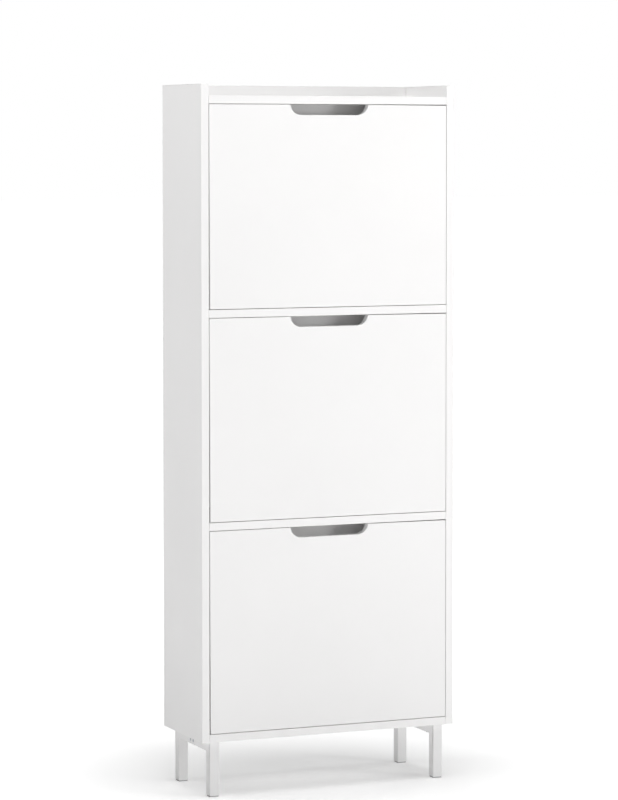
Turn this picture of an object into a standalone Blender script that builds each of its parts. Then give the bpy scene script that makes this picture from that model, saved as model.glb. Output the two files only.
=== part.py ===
"""Tall, shallow shoe cabinet: three tip-out flaps in a board carcass, standing on two steel leg frames.

Metres. +Z is up, +X is to the right of someone facing the cabinet, and its front faces -Y. The origin is
on the floor at the centre of the footprint. The flaps are closed, each hanging from an empty on its axis.
"""

from math import atan2, cos, pi, radians, sin, tan

import bmesh
import bpy
from mathutils import Vector

# Carcass
WIDTH = 0.520
DEPTH = 0.204
LEG_HEIGHT = 0.105
BOARD = 0.015
BAY_HEIGHT = 0.384
RIM = 0.022
TOUCH = 0.0003
EDGE_ROUND = 0.001
BACK_THICKNESS = 0.003
BACK_RECESS = 0.012
GROOVE_DEPTH = 0.005
VENT_ROWS = 3
VENT_LENGTH = 0.170
VENT_HEIGHT = 0.016
VENT_END_RADIUS = 0.49 * VENT_HEIGHT
VENT_PITCH = 0.025
VENT_CENTRE = 0.105
VENT_BELOW_SHELF = 0.055
CROSS_RAIL_SETBACK = 0.0525
CROSS_RAIL_HEIGHT = 0.034
CROSS_RAIL_HALF_WIDTH = 0.215
REAR_RAIL_INSET = 0.003

# Leg frames of square tube
TUBE = 0.020
TUBE_WALL = 0.0015
TUBE_ROUND = 0.0015
FRAME_SIDE_INSET = 0.018
FRAME_FRONT_INSET = 0.0085
FRAME_REAR_INSET = 0.012
GLIDE_BASE = 0.018
GLIDE_THICKNESS = 0.002
GLIDE_PLUG_LENGTH = 0.012
BOLT_RADIUS = 0.003
BOLT_HEAD_RADIUS = 0.005
BOLT_HEAD_THICKNESS = 0.0025
BOLT_GRIP = 0.010
BOLT_INSET = 0.045
BORE_CLEARANCE = 0.0003

# Flaps: front panel, pivot and finger notch
FLAP_GAP = 0.0011
PIVOT_ABOVE_EDGE = 0.026
OPEN_ANGLE = radians(48)
NOTCH_FLAT = 0.1164
NOTCH_DEPTH = 0.0195
NOTCH_RADIUS = 0.022
PIN_RADIUS = 0.003
PIN_IN_FLAP = 0.020
PIN_IN_SIDE = 0.009
BORE_END_GAP = 0.001

# Side wings and the two-tier shoe basket, measured from the pivot
WING_SIDE_GAP = 0.003
WING_THICKNESS = 0.004
WING_BOTTOM = -0.020
WING_TOP = 0.338
WING_SHOULDER = 0.225
WING_REACH = 0.172
WING_CROWN = 0.046
WING_CORNER_ROUND = 0.022
FLANGE_WIDTH = 0.018
FLANGE_THICKNESS = 0.003
BASKET_BOARD = 0.005
FLOOR_HEIGHT = -0.018
FLOOR_REACH = 0.099
STEP_HEIGHT = 0.090
STEP_REACH = 0.168
REAR_BOARD_TOP = 0.235

# Opening stop: a headed pin in the side panel runs in an arc slot of the wing
STOP_RADIUS = 0.075
STOP_ANGLE = radians(75)
STOP_HEAD_RADIUS = 0.0055
STOP_HEAD_THICKNESS = 0.0015
SLOT_HALF_WIDTH = 0.0034
SLOT_END_PLAY = radians(0.5)

# Magnetic catch and the wall brackets
CATCH_SIZE = Vector((0.040, 0.014, 0.012))
CATCH_X = 0.150
CATCH_ROUND = 0.0015
STRIKE_THICKNESS = 0.0012
BRACKET_WIDTH = 0.026
BRACKET_DROP = 0.034
BRACKET_HOLE_DROP = BRACKET_DROP * 2 / 3
BRACKET_THICKNESS = 0.0015
BRACKET_HOLE_RADIUS = 0.0025
BRACKET_X = 0.180

ROUND_STEPS = 24
CUT_MARGIN = 0.002

HALF_WIDTH = WIDTH / 2
FRONT = -DEPTH / 2
REAR = DEPTH / 2
INNER = HALF_WIDTH - BOARD
BOTTOM_TOP = LEG_HEIGHT + BOARD
BAY_PITCH = BAY_HEIGHT + BOARD
TOP_UNDERSIDE = BOTTOM_TOP + 3 * BAY_HEIGHT + 2 * BOARD
TOP_SURFACE = TOP_UNDERSIDE + BOARD
HEIGHT = TOP_SURFACE + RIM
BACK_REAR = REAR - BACK_RECESS
BACK_FRONT = BACK_REAR - BACK_THICKNESS
FLAP_HALF_WIDTH = INNER - FLAP_GAP
FLAP_HEIGHT = BAY_HEIGHT - 2 * FLAP_GAP
FLAP_TOP = FLAP_HEIGHT - PIVOT_ABOVE_EDGE
FLAP_BACK = BOARD / 2
WING_OUTER = INNER - WING_SIDE_GAP
WING_INNER = WING_OUTER - WING_THICKNESS
SIDES = {"left": -1, "right": 1}
LEVELS = {"lower": 0, "middle": 1, "upper": 2}

for leftover in list(bpy.data.objects):
    bpy.data.objects.remove(leftover, do_unlink=True)

parts = bpy.data.collections.new("shoe_cabinet")
cutters = bpy.data.collections.new("cutters")
bpy.context.scene.collection.children.link(parts)
bpy.context.scene.collection.children.link(cutters)


def material(name, color, roughness, metallic=0.0):
    made = bpy.data.materials.new(name)
    made.use_nodes = True
    shader = made.node_tree.nodes["Principled BSDF"]
    shader.inputs["Base Color"].default_value = (*color, 1.0)
    shader.inputs["Roughness"].default_value = roughness
    shader.inputs["Metallic"].default_value = metallic
    return made


WHITE_BOARD = ((0.88, 0.88, 0.87), 0.42)
BASKET_WHITE = ((0.82, 0.82, 0.81), 0.50)
BACK_WHITE = ((0.80, 0.80, 0.79), 0.60)
WHITE_POWDER = ((0.84, 0.84, 0.84), 0.50)
WHITE_PLASTIC = ((0.86, 0.86, 0.85), 0.38)
GREY_PLASTIC = ((0.55, 0.55, 0.56), 0.55)
BRIGHT_STEEL = ((0.62, 0.62, 0.64), 0.30, 1.0)
DARK_STEEL = ((0.16, 0.16, 0.17), 0.40, 1.0)


# Shapes

def place(obj, look, parent=None, collection=None):
    """Puts an object in its collection with its material, and hangs it from its parent."""
    (collection or parts).objects.link(obj)
    obj.parent = parent
    if look:
        obj.data.materials.append(material(obj.name + "_finish", *look))
    return obj


def box(name, low, high, look=None, edge=0.0, parent=None, collection=None):
    """A box between two corners, with its edges rounded to a radius."""
    low, high = Vector(low), Vector(high)
    size = high - low
    shape = bmesh.new()
    bmesh.ops.create_cube(shape, size=1.0)
    bmesh.ops.scale(shape, vec=size, verts=shape.verts)
    mesh = bpy.data.meshes.new(name)
    shape.to_mesh(mesh)
    shape.free()
    obj = place(bpy.data.objects.new(name, mesh), look, parent, collection)
    obj.location = (low + high) / 2
    if edge:
        bevel = obj.modifiers.new("Edges", "BEVEL")
        bevel.width = edge
        bevel.segments = 2
    return obj


def turned(name, profile, centre, facing, look=None, parent=None, collection=None):
    """A round piece: its (radius, height) profile, listed from the top down, turned about its own Z axis."""
    shape = bmesh.new()
    corners = [shape.verts.new((radius, 0, height)) for radius, height in profile]
    for start, end in zip(corners, corners[1:]):
        shape.edges.new((start, end))
    mesh = bpy.data.meshes.new(name)
    shape.to_mesh(mesh)
    shape.free()
    obj = place(bpy.data.objects.new(name, mesh), look, parent, collection)
    obj.location = centre
    obj.rotation_euler = Vector(facing).to_track_quat("Z", "Y").to_euler()
    turn = obj.modifiers.new("Turn", "SCREW")
    turn.steps = turn.render_steps = ROUND_STEPS
    turn.use_merge_vertices = True
    turn.merge_threshold = 0.00001
    return obj


def cylinder(radius, length):
    """The profile of a plain cylinder that starts at height 0."""
    return [(0, length), (radius, length), (radius, 0), (0, 0)]


def rounded(corners, steps=5):
    """The outline through (x, y, radius) corners, each rounded by an arc of its own radius."""
    points = []
    for index, (x, y, radius) in enumerate(corners):
        here = Vector((x, y))
        if not radius:
            points.append(here)
            continue
        before = (Vector(corners[index - 1][:2]) - here).normalized()
        after = (Vector(corners[(index + 1) % len(corners)][:2]) - here).normalized()
        half = before.angle(after) / 2
        centre = here + (before + after).normalized() * radius / sin(half)
        start = here + before * radius / tan(half) - centre
        end = here + after * radius / tan(half) - centre
        first = atan2(start.y, start.x)
        sweep = (atan2(end.y, end.x) - first + pi) % (2 * pi) - pi
        for step in range(steps + 1):
            angle = first + sweep * step / steps
            points.append(centre + Vector((cos(angle), sin(angle))) * radius)
    return points


def flat_plate(name, outline, thickness, look=None, parent=None, collection=None):
    """A plate with the outline in its own XY plane, half its thickness on each side of it."""
    curve = bpy.data.curves.new(name, "CURVE")
    curve.dimensions = "2D"
    curve.fill_mode = "BOTH"
    curve.extrude = thickness / 2
    spline = curve.splines.new("POLY")
    spline.points.add(len(outline) - 1)
    for point, (x, y) in zip(spline.points, outline):
        point.co = (x, y, 0, 1)
    spline.use_cyclic_u = True
    drawn = bpy.data.objects.new(name + "_outline", curve)
    parts.objects.link(drawn)
    graph = bpy.context.evaluated_depsgraph_get()
    mesh = bpy.data.meshes.new_from_object(drawn.evaluated_get(graph))
    bpy.data.objects.remove(drawn)
    shape = bmesh.new()
    shape.from_mesh(mesh)
    bmesh.ops.remove_doubles(shape, verts=shape.verts, dist=0.00001)
    bmesh.ops.recalc_face_normals(shape, faces=shape.faces)
    shape.to_mesh(mesh)
    shape.free()
    mesh.name = name
    return place(bpy.data.objects.new(name, mesh), look, parent, collection)


def side_plate(name, outline, low_x, high_x, look=None, parent=None, collection=None):
    """A flat plate across X, from an outline of (depth, height) points."""
    obj = flat_plate(name, outline, high_x - low_x, look, parent, collection)
    obj.location = ((low_x + high_x) / 2, 0, 0)
    obj.rotation_euler = (pi / 2, 0, pi / 2)
    return obj


def combine(obj, tool, operation):
    """Cuts the tool out of the object, or joins it on, and keeps the tool out of sight."""
    boolean = obj.modifiers.new(tool.name, "BOOLEAN")
    boolean.operation = operation
    boolean.solver = "EXACT"
    boolean.object = tool
    tool.hide_render = True
    tool.display_type = "WIRE"


def cut(obj, tool):
    combine(obj, tool, "DIFFERENCE")


def join(obj, tool):
    combine(obj, tool, "UNION")


def bored(obj, name, centre, facing, radius, depth, parent=None):
    """Drills a round hole into the object, from a mouth a little outside its surface."""
    profile = [(0, CUT_MARGIN), (radius, CUT_MARGIN), (radius, -depth), (0, -depth)]
    cut(obj, turned(name, profile, centre, facing, parent=parent, collection=cutters))


# Where the flaps hang

def bay_floor(level):
    return BOTTOM_TOP + LEVELS[level] * BAY_PITCH


def pivot_point(level):
    """The middle of a flap's hinge axis: halfway through its panel, just above its lower edge."""
    return Vector((0, FRONT + BOARD / 2, bay_floor(level) + FLAP_GAP + PIVOT_ABOVE_EDGE))


def stop_offset():
    return Vector((0, STOP_RADIUS * cos(STOP_ANGLE), STOP_RADIUS * sin(STOP_ANGLE)))


# Carcass

def side_panel(side):
    """Full-height side, with the back panel's groove and a blind bore for each pivot pin and stop pin."""
    sign = SIDES[side]
    low, high = sorted((sign * INNER, sign * HALF_WIDTH))
    panel = box(side + "_side_panel", (low, FRONT, LEG_HEIGHT), (high, REAR, HEIGHT), WHITE_BOARD, EDGE_ROUND)
    groove_x = sorted((sign * (INNER - CUT_MARGIN), sign * (INNER + GROOVE_DEPTH)))
    cut(panel, box(
        side + "_groove",
        (groove_x[0], BACK_FRONT - TOUCH, BOTTOM_TOP - TOUCH),
        (groove_x[1], BACK_REAR + TOUCH, TOP_UNDERSIDE + TOUCH),
        collection=cutters,
    ))
    inward = (-sign, 0, 0)
    bore = PIN_RADIUS + BORE_CLEARANCE
    for level in LEVELS:
        mouth = pivot_point(level) + Vector((sign * INNER, 0, 0))
        depth = PIN_IN_SIDE + BORE_END_GAP
        bored(panel, f"{level}_{side}_pivot_bore", mouth, inward, bore, depth)
        bored(panel, f"{level}_{side}_stop_bore", mouth + stop_offset(), inward, bore, depth)


def carcass_boards():
    """The boards between the sides: bottom, two dividing shelves, the top, and the rail rising behind it."""
    reach = INNER - TOUCH
    bottom = box("bottom_board", (-reach, FRONT, LEG_HEIGHT), (reach, REAR, BOTTOM_TOP), WHITE_BOARD,
                 EDGE_ROUND)
    for side in SIDES:
        for end in ("front", "rear"):
            mouth = (bolt_x(side), bolt_y(end), LEG_HEIGHT)
            bored(bottom, f"{side}_{end}_insert_bore", mouth, (0, 0, -1), BOLT_RADIUS + BORE_CLEARANCE,
                  BOLT_GRIP + BORE_END_GAP)
    for name, level in (("lower_shelf", "middle"), ("upper_shelf", "upper")):
        upper_face = bay_floor(level)
        box(name, (-reach, FRONT, upper_face - BOARD), (reach, BACK_FRONT - TOUCH, upper_face), WHITE_BOARD,
            EDGE_ROUND)
    rail_rear = REAR - REAR_RAIL_INSET
    rail_front = rail_rear - BOARD
    box("top_board", (-reach, FRONT, TOP_UNDERSIDE), (reach, rail_front - TOUCH, TOP_SURFACE), WHITE_BOARD,
        EDGE_ROUND)
    box("rear_rail", (-reach, rail_front, TOP_UNDERSIDE), (reach, rail_rear, HEIGHT), WHITE_BOARD, EDGE_ROUND)


def back_panel():
    """Hardboard held in the side panels' grooves, with two columns of ventilation slots high in each bay."""
    reach = INNER + GROOVE_DEPTH - TOUCH
    panel = box("back_panel", (-reach, BACK_FRONT, BOTTOM_TOP + TOUCH),
                (reach, BACK_REAR, TOP_UNDERSIDE - TOUCH), BACK_WHITE)
    for level in LEVELS:
        highest = bay_floor(level) + BAY_HEIGHT - VENT_BELOW_SHELF
        for row in range(VENT_ROWS):
            high = highest - row * VENT_PITCH
            low = high - VENT_HEIGHT
            for column, sign in SIDES.items():
                left = sign * VENT_CENTRE - VENT_LENGTH / 2
                right = left + VENT_LENGTH
                ends = [(left, low), (right, low), (right, high), (left, high)]
                outline = rounded([(*end, VENT_END_RADIUS) for end in ends])
                slot = flat_plate(f"{level}_{column}_vent_{row}", outline, BACK_THICKNESS + 2 * CUT_MARGIN,
                                  collection=cutters)
                slot.location = (0, (BACK_FRONT + BACK_REAR) / 2, 0)
                slot.rotation_euler = (pi / 2, 0, 0)
                cut(panel, slot)


def cross_rail(level):
    """Stiffening rail under the board above a bay, a hand's depth behind the flap and clear of its wings."""
    front = FRONT + CROSS_RAIL_SETBACK
    high = bay_floor(level) + BAY_HEIGHT - TOUCH
    box(level + "_cross_rail", (-CROSS_RAIL_HALF_WIDTH, front, high - CROSS_RAIL_HEIGHT),
        (CROSS_RAIL_HALF_WIDTH, front + BOARD, high), WHITE_BOARD, EDGE_ROUND)


def wall_bracket(side):
    """Steel angle behind the back panel: one leg screwed up into the rear rail, one against the wall."""
    centre = SIDES[side] * BRACKET_X
    low_x, high_x = centre - BRACKET_WIDTH / 2, centre + BRACKET_WIDTH / 2
    top = TOP_UNDERSIDE - TOUCH
    wall_leg = REAR - BRACKET_THICKNESS
    name = side + "_wall_bracket"
    bracket = box(name, (low_x, wall_leg, top - BRACKET_DROP), (high_x, REAR, top), BRIGHT_STEEL)
    join(bracket, box(name + "_leg", (low_x, BACK_REAR + CUT_MARGIN / 2, top - BRACKET_THICKNESS),
                      (high_x, REAR, top), collection=cutters))
    hole = (centre, REAR, top - BRACKET_HOLE_DROP)
    bored(bracket, name + "_hole", hole, (0, 1, 0), BRACKET_HOLE_RADIUS, BRACKET_THICKNESS + CUT_MARGIN)


# Leg frames

def frame_span(side):
    """The low and high X of a leg frame's tube."""
    outer = SIDES[side] * (HALF_WIDTH - FRAME_SIDE_INSET)
    return sorted((outer, outer - SIDES[side] * TUBE))


def bolt_x(side):
    return sum(frame_span(side)) / 2


def bolt_y(end):
    return FRONT + FRAME_FRONT_INSET + BOLT_INSET if end == "front" else REAR - FRAME_REAR_INSET - BOLT_INSET


def leg_frame(side):
    """Welded inverted U of square tube: front leg, rear leg and the rail that carries the carcass."""
    low_x, high_x = frame_span(side)
    front, rear = FRONT + FRAME_FRONT_INSET, REAR - FRAME_REAR_INSET
    foot, top = GLIDE_THICKNESS + TOUCH, LEG_HEIGHT - TOUCH
    under_rail = top - TUBE
    name = side + "_leg_frame"
    outline = [
        (front, foot), (front + TUBE, foot), (front + TUBE, under_rail), (rear - TUBE, under_rail),
        (rear - TUBE, foot), (rear, foot), (rear, top), (front, top),
    ]
    frame = side_plate(name, outline, low_x, high_x, WHITE_POWDER)
    bevel = frame.modifiers.new("Edges", "BEVEL")
    bevel.width = TUBE_ROUND
    bevel.segments = 2
    hollow_x = (low_x + TUBE_WALL, high_x - TUBE_WALL)
    hollow = {
        "front": (front + TUBE_WALL, front + TUBE - TUBE_WALL, 0),
        "rear": (rear - TUBE + TUBE_WALL, rear - TUBE_WALL, 0),
        "rail": (front + TUBE_WALL, rear - TUBE_WALL, under_rail + TUBE_WALL),
    }
    for member, (low_y, high_y, low_z) in hollow.items():
        cut(frame, box(f"{name}_{member}_hollow", (hollow_x[0], low_y, low_z),
                       (hollow_x[1], high_y, top - TUBE_WALL), collection=cutters))
    for end in ("front", "rear"):
        mouth = (bolt_x(side), bolt_y(end), under_rail)
        bored(frame, f"{side}_{end}_bolt_hole", mouth, (0, 0, -1), BOLT_RADIUS + BORE_CLEARANCE,
              TUBE + CUT_MARGIN)


def leg_bolt(side, end):
    """Headed bolt up through the rail into the bottom board."""
    head_top = LEG_HEIGHT - TUBE - 2 * TOUCH
    shank_top = LEG_HEIGHT + BOLT_GRIP - head_top
    profile = [
        (0, shank_top), (BOLT_RADIUS, shank_top), (BOLT_RADIUS, 0), (BOLT_HEAD_RADIUS, 0),
        (BOLT_HEAD_RADIUS, -BOLT_HEAD_THICKNESS), (0, -BOLT_HEAD_THICKNESS),
    ]
    turned(f"{side}_{end}_leg_bolt", profile, (bolt_x(side), bolt_y(end), head_top), (0, 0, 1), DARK_STEEL)


def glide(side, end):
    """Plastic foot: a thin pad on the floor with a plug pressed up into the leg."""
    front_centre = FRONT + FRAME_FRONT_INSET + TUBE / 2
    rear_centre = REAR - FRAME_REAR_INSET - TUBE / 2
    x, y = bolt_x(side), front_centre if end == "front" else rear_centre
    half = GLIDE_BASE / 2
    plug = TUBE / 2 - TUBE_WALL - TOUCH
    name = f"{side}_{end}_glide"
    pad = box(name, (x - half, y - half, 0), (x + half, y + half, GLIDE_THICKNESS), GREY_PLASTIC)
    join(pad, box(name + "_plug", (x - plug, y - plug, GLIDE_THICKNESS / 2),
                  (x + plug, y + plug, GLIDE_THICKNESS + GLIDE_PLUG_LENGTH), collection=cutters))


# Flaps

def flap_panel(level, pivot):
    """Inset front panel with a finger notch in the middle of its top edge and a bore for each pivot pin."""
    panel = box(level + "_flap", (-FLAP_HALF_WIDTH, -BOARD / 2, -PIVOT_ABOVE_EDGE),
                (FLAP_HALF_WIDTH, BOARD / 2, FLAP_TOP), WHITE_BOARD, EDGE_ROUND, pivot)
    notch_low = FLAP_TOP - NOTCH_DEPTH
    half = NOTCH_FLAT / 2 + NOTCH_RADIUS
    notch = box(level + "_finger_notch", (-half, -BOARD, notch_low),
                (half, BOARD, notch_low + 2 * NOTCH_RADIUS), parent=pivot, collection=cutters)
    shape = bmesh.new()
    shape.from_mesh(notch.data)
    across = [edge for edge in shape.edges if abs((edge.verts[0].co - edge.verts[1].co).normalized().y) > 0.5]
    bmesh.ops.bevel(shape, geom=across, offset=NOTCH_RADIUS * 0.999, segments=8, profile=0.5, affect="EDGES")
    shape.to_mesh(notch.data)
    shape.free()
    cut(panel, notch)
    for side, sign in SIDES.items():
        bored(panel, f"{level}_{side}_pin_bore", (sign * FLAP_HALF_WIDTH, 0, 0), (sign, 0, 0),
              PIN_RADIUS + BORE_CLEARANCE, PIN_IN_FLAP + BORE_END_GAP, pivot)


def pivot_pin(level, side, pivot):
    """Steel pin fixed in the flap's edge, its outer end turning in the side panel."""
    sign = SIDES[side]
    start = FLAP_HALF_WIDTH - PIN_IN_FLAP
    length = INNER + PIN_IN_SIDE - start
    turned(f"{level}_{side}_pivot_pin", cylinder(PIN_RADIUS, length), (sign * start, 0, 0), (sign, 0, 0),
           BRIGHT_STEEL, pivot)


def stop_slot(level, side, pivot):
    """Cutter for the arc slot about the pivot: from the stop pin's place down by the opening angle."""
    high, low = STOP_ANGLE + SLOT_END_PLAY, STOP_ANGLE - OPEN_ANGLE - SLOT_END_PLAY
    outline = []

    def arc(centre, radius, first, last, steps):
        for step in range(steps + 1):
            angle = first + (last - first) * step / steps
            outline.append(centre + Vector((cos(angle), sin(angle))) * radius)

    def on_path(angle):
        return Vector((cos(angle), sin(angle))) * STOP_RADIUS

    arc(Vector((0, 0)), STOP_RADIUS + SLOT_HALF_WIDTH, low, high, 12)
    arc(on_path(high), SLOT_HALF_WIDTH, high + pi / 8, high + pi * 7 / 8, 6)
    arc(Vector((0, 0)), STOP_RADIUS - SLOT_HALF_WIDTH, high, low, 12)
    arc(on_path(low), SLOT_HALF_WIDTH, low + pi * 9 / 8, low + pi * 15 / 8, 6)
    sign = SIDES[side]
    low_x, high_x = sorted((sign * (WING_INNER - CUT_MARGIN), sign * (WING_OUTER + CUT_MARGIN)))
    return side_plate(f"{level}_{side}_slot", outline, low_x, high_x, parent=pivot, collection=cutters)


def wing(level, side, pivot):
    """Moulded side of the basket: a plate with the stop's arc slot, and a flange on the flap's back."""
    sign = SIDES[side]
    front = FLAP_BACK + TOUCH
    outline = rounded([
        (front, WING_BOTTOM, 0), (WING_REACH, WING_BOTTOM, WING_CORNER_ROUND),
        (WING_REACH, WING_SHOULDER, WING_CORNER_ROUND), (WING_CROWN, WING_TOP, WING_CORNER_ROUND),
        (front, WING_TOP, 0),
    ])
    low_x, high_x = sorted((sign * WING_INNER, sign * WING_OUTER))
    name = f"{level}_{side}_wing"
    plate = side_plate(name, outline, low_x, high_x, WHITE_PLASTIC, pivot)
    flange_x = sorted((sign * (WING_OUTER - FLANGE_WIDTH), sign * (WING_INNER + WING_THICKNESS / 2)))
    join(plate, box(name + "_flange", (flange_x[0], front - TOUCH / 3, WING_BOTTOM + TOUCH),
                    (flange_x[1], front + FLANGE_THICKNESS, WING_TOP - TOUCH), parent=pivot,
                    collection=cutters))
    cut(plate, stop_slot(level, side, pivot))


def stop_pin(level, side):
    """Headed pin fixed in the side panel, passing through the wing's slot."""
    sign = SIDES[side]
    base = INNER + PIN_IN_SIDE
    neck = base - WING_INNER + BORE_CLEARANCE * 2
    tip = neck + STOP_HEAD_THICKNESS
    profile = [
        (0, tip), (STOP_HEAD_RADIUS, tip), (STOP_HEAD_RADIUS, neck), (PIN_RADIUS, neck), (PIN_RADIUS, 0), (0, 0),
    ]
    centre = pivot_point(level) + stop_offset() + Vector((sign * base, 0, 0))
    turned(f"{level}_{side}_stop_pin", profile, centre, (-sign, 0, 0), BRIGHT_STEEL)


def basket(level, pivot):
    """Stepped two-tier rest for the shoes: floor, riser, step and rear board, held between the wings."""
    reach = WING_INNER - TOUCH
    front = FLAP_BACK + FLANGE_THICKNESS + 2 * TOUCH
    floor_top = FLOOR_HEIGHT + BASKET_BOARD
    step_top = STEP_HEIGHT + BASKET_BOARD
    boards = {
        "floor": (front, FLOOR_REACH, FLOOR_HEIGHT, floor_top),
        "riser": (FLOOR_REACH - BASKET_BOARD, FLOOR_REACH, floor_top + TOUCH, STEP_HEIGHT - TOUCH),
        "step": (FLOOR_REACH - BASKET_BOARD, STEP_REACH, STEP_HEIGHT, step_top),
        "rear_board": (STEP_REACH - BASKET_BOARD, STEP_REACH, step_top + TOUCH, REAR_BOARD_TOP),
    }
    for name, (low_y, high_y, low_z, high_z) in boards.items():
        box(f"{level}_{name}", (-reach, low_y, low_z), (reach, high_y, high_z), BASKET_WHITE, parent=pivot)


def catch(level):
    """Magnetic catch under the board above the flap, a strike plate's thickness behind it."""
    half = CATCH_SIZE / 2
    face = FRONT + BOARD + STRIKE_THICKNESS + 2 * TOUCH
    ceiling = bay_floor(level) + BAY_HEIGHT - TOUCH
    box(level + "_catch", (CATCH_X - half.x, face, ceiling - CATCH_SIZE.z),
        (CATCH_X + half.x, face + CATCH_SIZE.y, ceiling), WHITE_PLASTIC, CATCH_ROUND)


def flap(level):
    """One tip-out flap: everything that swings hangs from the empty on its hinge axis."""
    pivot = bpy.data.objects.new(level + "_pivot", None)
    pivot.location = pivot_point(level)
    parts.objects.link(pivot)
    flap_panel(level, pivot)
    basket(level, pivot)
    for side in SIDES:
        pivot_pin(level, side, pivot)
        wing(level, side, pivot)
        stop_pin(level, side)


carcass_boards()
back_panel()
for side_name in SIDES:
    side_panel(side_name)
    wall_bracket(side_name)
    leg_frame(side_name)
    for end_name in ("front", "rear"):
        leg_bolt(side_name, end_name)
        glide(side_name, end_name)
for level_name in LEVELS:
    cross_rail(level_name)
    catch(level_name)
    flap(level_name)
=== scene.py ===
"""Looks of the white shoe cabinet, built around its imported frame: boards with edge bands, moulded wings,
powder-coated leg frames, plated fittings, a pale floor and soft studio light. Metres, front facing -Y.
"""

from math import atan2, cos, pi, radians, sin, tan

import bmesh
import bpy
from mathutils import Euler, Matrix, Vector

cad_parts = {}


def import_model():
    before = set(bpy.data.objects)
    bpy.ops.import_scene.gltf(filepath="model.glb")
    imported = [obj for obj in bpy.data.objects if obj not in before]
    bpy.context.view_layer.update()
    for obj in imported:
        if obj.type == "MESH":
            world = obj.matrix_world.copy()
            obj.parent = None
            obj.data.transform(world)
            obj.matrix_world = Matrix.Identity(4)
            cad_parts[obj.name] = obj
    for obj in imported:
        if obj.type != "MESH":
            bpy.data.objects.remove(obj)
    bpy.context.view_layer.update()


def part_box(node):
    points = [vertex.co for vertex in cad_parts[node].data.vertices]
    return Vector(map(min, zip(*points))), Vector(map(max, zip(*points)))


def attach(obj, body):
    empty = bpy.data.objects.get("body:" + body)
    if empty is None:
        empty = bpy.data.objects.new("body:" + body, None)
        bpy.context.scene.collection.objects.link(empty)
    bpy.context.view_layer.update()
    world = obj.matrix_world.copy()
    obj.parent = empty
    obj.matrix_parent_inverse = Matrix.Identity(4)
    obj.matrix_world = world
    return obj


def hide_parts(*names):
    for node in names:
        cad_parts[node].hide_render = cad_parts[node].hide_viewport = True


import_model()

CARCASS = "carcass"
LEVELS = ("lower", "middle", "upper")
SIDES = {"left": -1, "right": 1}
FRONT_EDGE, UNDER_EDGE, TOP_EDGE = (1, 0), (2, 0), (2, 1)
STANDING_ACROSS_X = Euler((pi / 2, 0, pi / 2)).to_matrix().to_4x4()
STANDING_ACROSS_Y = Euler((pi / 2, 0, 0)).to_matrix().to_4x4()
SHARP = radians(40)
ARC_STEPS = 9
ROUND_STEPS = 40

# Boards
BAND = 0.0009
BAND_ROUND = 0.0005
BAND_JOINT = 0.00008
CORE_ROUND = 0.0002
FLAP_ROUND = 0.0006
NOTCH_FLAT = 0.1164
NOTCH_DEPTH = 0.0195
NOTCH_RADIUS = 0.022
PIN_RADIUS = 0.003
BORE_CLEARANCE = 0.0003
BORE_MOUTH = 0.002
VENT_ROWS = 3
VENT_LENGTH = 0.170
VENT_HEIGHT = 0.016
VENT_END_RADIUS = 0.49 * VENT_HEIGHT
VENT_PITCH = 0.025
VENT_CENTRE = 0.105
VENT_BELOW_SHELF = 0.055

# Moulded wings
WING_THICKNESS = 0.004
WING_ROUND = 0.0007
WING_SHOULDER = 0.245
WING_CROWN = 0.0383
WING_CORNER = 0.022
FLANGE_WIDTH = 0.018
FLANGE_THICKNESS = 0.003
LEDGE = 0.0013
LEDGE_REACH = 0.006
BEAD_RADIUS = 0.0011
BEAD_INSET = 0.006
BEAD_CORNER = 0.75 * WING_CORNER
BEAD_TIGHT_CORNER = 0.003
SLOT_BEAD_OFFSET = 0.0022
SLOT_HALF_WIDTH = 0.0034
STOP_RADIUS = 0.075
STOP_ANGLE = radians(75)
OPEN_ANGLE = radians(48)
SLOT_END_PLAY = radians(0.5)

# Strike plates, behind the flaps' upper edges
STRIKE_WIDTH = 0.034
STRIKE_HEIGHT = 0.014
STRIKE_THICKNESS = 0.0012
STRIKE_BELOW_EDGE = 0.0105

# Screw heads, as shares of their radius and height
HEAD_SEAT = 0.3
HEAD_RIM = 0.35
HEAD_RINGS = 6
HEAD_STEPS = 28
RECESS_REACH = 0.62
RECESS_HALF_WIDTH = 0.14
RECESS_HEIGHT = 0.85

# Leg frames
TUBE = 0.020
TUBE_ROUND = 0.0019
TUBE_CORNER = 0.0012
WELD_RADIUS = 0.0016
WELD_END_RADIUS = 0.8 * WELD_RADIUS
WELD_RIPPLES = 12
WELD_SWELL = 0.06
WELD_PHASE = 2.1
RAIL_SCREW_HALF_PITCH = 0.0068
RAIL_SCREW_HEIGHT = 0.43 * TUBE

# Camera, worked out for the three-quarter view from the cabinet's left
CAMERA_DISTANCE = 6.183
CAMERA_AZIMUTH = radians(-23.107)
CAMERA_HEADING = radians(-23.392)
CAMERA_HEIGHT = 1.2288
CAMERA_PITCH = radians(-2.862)
CAMERA_LENS = 144.97
CAMERA_SHIFT = (-0.0193, -0.12)

# Light
WORLD_LIGHT = 0.14
# The floor's glow by its distance from the middle: painted light, kept low around the cabinet as painted
# shade.
FLOOR_GLOW = ((0.05, 0.20), (0.12, 0.48), (0.25, 0.74), (0.60, 0.90))
FLOOR_GLOW_REACH = 4.0


# Materials

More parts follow.
